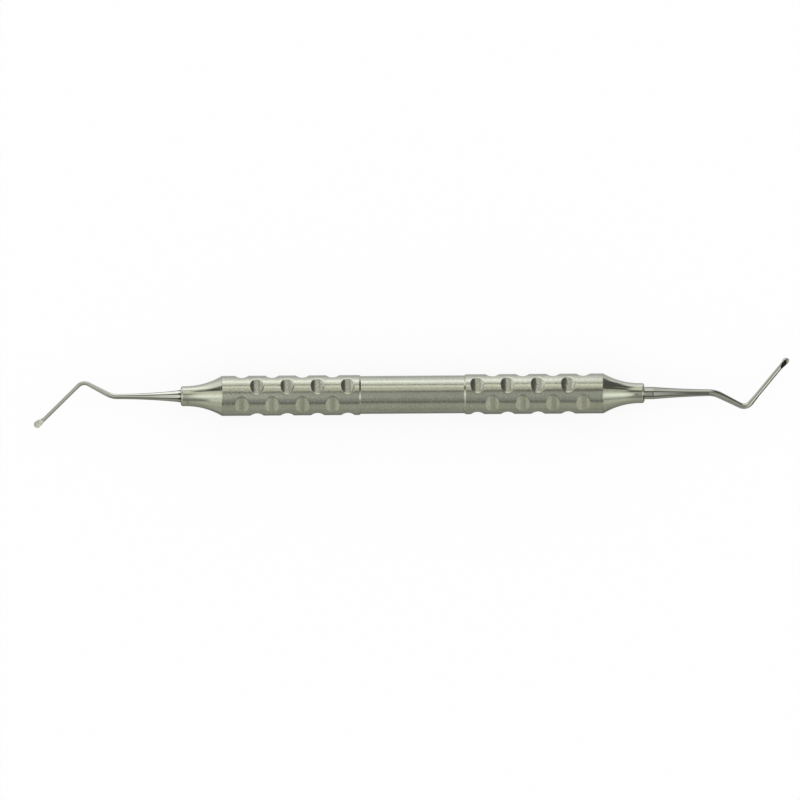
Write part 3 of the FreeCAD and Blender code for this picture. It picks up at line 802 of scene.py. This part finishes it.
studio = {
    "floorSize": 6.0, "floorTone": (0.97, 0.97, 0.97), "floorWhite": 0.86,
    "worldTone": (1.0, 1.0, 1.0), "worldStrength": 1.0,
    "tentRadius": 290.0, "tentHalf": 440.0, "tentLevel": 0.47, "tentTurns": 360, "tentRings": 221,
    "endWallRings": (0.02, 0.25, 0.5, 0.75),
    # panels of the tent: from, to and softness in degrees round the handle, the same in mm along it,
    # then the level
    "panels": [
        ("back wall", 100, 200, 5, -600, 600, 1, 0.9),
        ("far floor", 123, 200, 7, -600, 600, 1, 0.6),
        ("table side", -90, -53, 1.5, -600, 600, 1, 0.47),
        ("table ends", -90, -53, 3, 115, 600, 60, 0.63),
        ("table far end", -90, -53, 3, -600, -150, 60, 0.6),
        ("near floor", -200, -90, 8, -600, 600, 1, 0.38),
        ("near floor, left", -125, -88, 8, -600, -176, 54, 0.5),
        ("near floor, right", -108, -88, 6, 176, 600, 54, 0.46),
        ("foot", -220, -132, 9, -600, 600, 1, 0.25),
        ("room", -15, 15, 4, -600, 600, 1, 0.46),
        ("left room", -15, 13, 4, -600, -25, 25, 0.6),
        ("dusk", -53, -22, 5, -600, 600, 1, 0.36),
        ("dark gap", -52.5, -38, 3, -600, 600, 1, 0.22),
        ("thin gap", 14, 24, 2, -600, 600, 1, 0.27),
        ("half light", 26, 45, 2, -600, 600, 1, 0.74),
        ("narrow light", 45, 58, 1.5, -600, 600, 1, 1.12),
        ("seam", 60.5, 65.5, 1.2, -600, 600, 1, 0.36),
        ("soft box", 66, 108, 3.5, -600, 600, 1, 0.98),
        ("soft box core", 79, 97, 6, -600, 42, 30, 1.55),
        ("left glow", -24, 34, 9, -600, -126, 63, 0.86),
        ("left low glow", -52, -22, 9, -600, -248, 81, 0.85),
        ("left window", -16, 12, 8, -600, -113, 81, 1.2),
        ("left upper glow", 66, 104, 4, -600, -194, 72, 1.05),
        ("left flag", 45, 57, 4, -600, -111, 43, 0.09),
        ("left mid flag", 46, 65, 4, -600, -226, 32, 0.1),
        ("left far flag", 44, 71, 5, -600, -270, 30, 0.1),
        ("left end flag", 60, 79, 5, -600, -320, 25, 0.2),
        ("right flag", 58, 84, 5, 104, 600, 36, 0.11),
        ("right top flag", 78, 106, 5, 147, 600, 29, 0.11),
        ("right low flag", 34, 60, 5, 129, 600, 40, 0.11),
        ("right far flag", 100, 118, 6, 212, 600, 22, 0.16),
        ("right slot", 51, 62, 3, 151, 239, 40, 0.3),
        ("right glow", -46, 20, 10, 136, 600, 50, 0.76),
        ("right window", -29, 0, 7, 104, 600, 63, 1.2),
        ("wide gap", 13, 32, 4, 40, 154, 28, 0.15),
        ("right ceiling gap", -26, -7, 5, 68, 96, 9, 0.1),
        ("left side gap", -88, -50, 4, -73, -62, 4, 0.2),
        ("right end gap", -175, -92, 4, 345, 600, 25, 0.02),
        ("right end wall", -94, -58, 4, 432, 600, 6, 0.02),
    ],
    # warmth of the tent by angle: green and blue beside red
    "tint": [(-180, 1.0, 0.95), (-95, 1.01, 0.94), (-85, 1.0, 0.9), (-58, 1.0, 0.9), (-48, 1.03, 1.0),
             (-22, 1.03, 1.0), (14, 1.01, 0.96), (28, 0.99, 0.9), (58, 0.985, 0.9), (68, 1.0, 0.99),
             (110, 1.01, 1.05), (180, 1.0, 1.0)],
    # the picture's width in pixels and a pixel's size in mm
    "frameWidth": 800, "pixelSize": 0.2346,
    "cameraPlace": (-2.96, -1.24, 500.0), "cameraRoll": -0.3855, "cameraReach": 10,
}


def makeFloor():
    # plain and nearly white, with the object's shadow; the steel reflects the tent instead of it
    size = studio["floorSize"] / 2
    corners = [(-size, -size, 0), (size, -size, 0), (size, size, 0), (-size, size, 0)]
    material, nodes = newMaterial("plain floor")
    matt = nodes.add("ShaderNodeBsdfDiffuse", None, {"Color": (*studio["floorTone"], 1.0)})
    white = nodes.add("ShaderNodeEmission", None, {"Color": (1.0, 1.0, 1.0, 1.0), "Strength": 1.0})
    ray = nodes.add("ShaderNodeLightPath", output=None)
    seen = Wire(nodes, ray.outputs["Is Camera Ray"])
    seen = seen.atLeast(Wire(nodes, ray.outputs["Is Glossy Ray"]))
    seen = seen.atLeast(Wire(nodes, ray.outputs["Is Transmission Ray"]))
    shader = nodes.add("ShaderNodeMixShader", None, {0: seen * studio["floorWhite"], 1: matt, 2: white})
    finishMaterial(nodes, shader)
    floor = meshObject("floor", corners, [(0, 1, 2, 3)], material)
    floor.visible_glossy = False


def onlyInReflections(backdrop):
    backdrop.visible_camera = False
    backdrop.visible_diffuse = False
    backdrop.visible_shadow = False
    backdrop.visible_transmission = False
    backdrop.visible_volume_scatter = False


def tentLevels(angle, along):
    # brightness of the tent at an angle round the handle and a distance along it
    def between(value, low, high, soft):
        rise = np.clip((value - low + soft) / (2 * soft), 0, 1)
        fall = np.clip((high + soft - value) / (2 * soft), 0, 1)
        return rise * rise * (3 - 2 * rise) * fall * fall * (3 - 2 * fall)

    level = np.full(angle.shape, studio["tentLevel"])
    for label, low, high, soft, start, end, fade, tone in studio["panels"]:
        mask = between(angle, low, high, soft) * between(along, start, end, fade)
        level += (tone - level) * mask
    return level


def makeLightTent():
    # a tunnel of soft lights and dark gaps round the handle, nearly closed at both ends, which the
    # steel reflects
    radius, half, turns = studio["tentRadius"], studio["tentHalf"], studio["tentTurns"]
    stations = [(-half, radius * part) for part in studio["endWallRings"]]
    stations += [(x, radius) for x in np.linspace(-half, half, studio["tentRings"])]
    stations += [(half, radius * part) for part in reversed(studio["endWallRings"])]
    angles = np.linspace(-180, 180, turns + 1)
    turn, along = np.meshgrid(angles, [place[0] for place in stations])
    reach = np.repeat(np.array([place[1] for place in stations])[:, None], turns + 1, 1)
    points = np.stack([along, reach * np.sin(np.radians(turn)),
                       reach * np.cos(np.radians(turn)) + handle["axisHeight"]], axis=-1).reshape(-1, 3)
    faces = []
    for row in range(len(stations) - 1):
        for step in range(turns):
            corner = row * (turns + 1) + step
            faces.append((corner, corner + 1, corner + turns + 2, corner + turns + 1))
    material, nodes = newMaterial("light tent")
    glow = nodes.add("ShaderNodeAttribute", {"attribute_name": "glow"}, None, "Color")
    shader = nodes.add("ShaderNodeEmission", None, {"Color": glow, "Strength": 1.0})
    finishMaterial(nodes, shader)
    material.cycles.emission_sampling = "NONE"
    tent = meshObject("light_tent", points * mm, faces, material)
    level = tentLevels(turn, along)
    tintAngles, green, blue = zip(*studio["tint"])
    glows = np.stack([level, level * np.interp(turn, tintAngles, green),
                      level * np.interp(turn, tintAngles, blue), np.ones(level.shape)], axis=-1)
    layer = tent.data.attributes.new("glow", "FLOAT_COLOR", "POINT")
    layer.data.foreach_set("color", glows.ravel())
    onlyInReflections(tent)


def makeWorld():
    world = bpy.data.worlds.new("studio")
    scene.world = world
    world.use_nodes = True
    world.node_tree.nodes.clear()
    nodes = Nodes(world.node_tree)
    light = nodes.add("ShaderNodeBackground", None,
                      {"Color": (*studio["worldTone"], 1.0), "Strength": studio["worldStrength"]})
    nodes.add("ShaderNodeOutputWorld", None, {"Surface": light}, None)


def makeCamera():
    # straight down, a long way up, rolled by the photograph's slight tilt
    data = bpy.data.cameras.new("camera")
    data.type = "ORTHO"
    data.ortho_scale = studio["frameWidth"] * studio["pixelSize"] * mm
    camera = bpy.data.objects.new("camera", data)
    scene.collection.objects.link(camera)
    camera.location = [value * mm for value in studio["cameraPlace"]]
    camera.rotation_euler = (0, 0, math.radians(studio["cameraRoll"]))
    data.clip_end = studio["cameraReach"]
    bpy.context.scene.camera = camera


makeFloor()
makeLightTent()
makeWorld()
makeCamera()
print("studio ready")
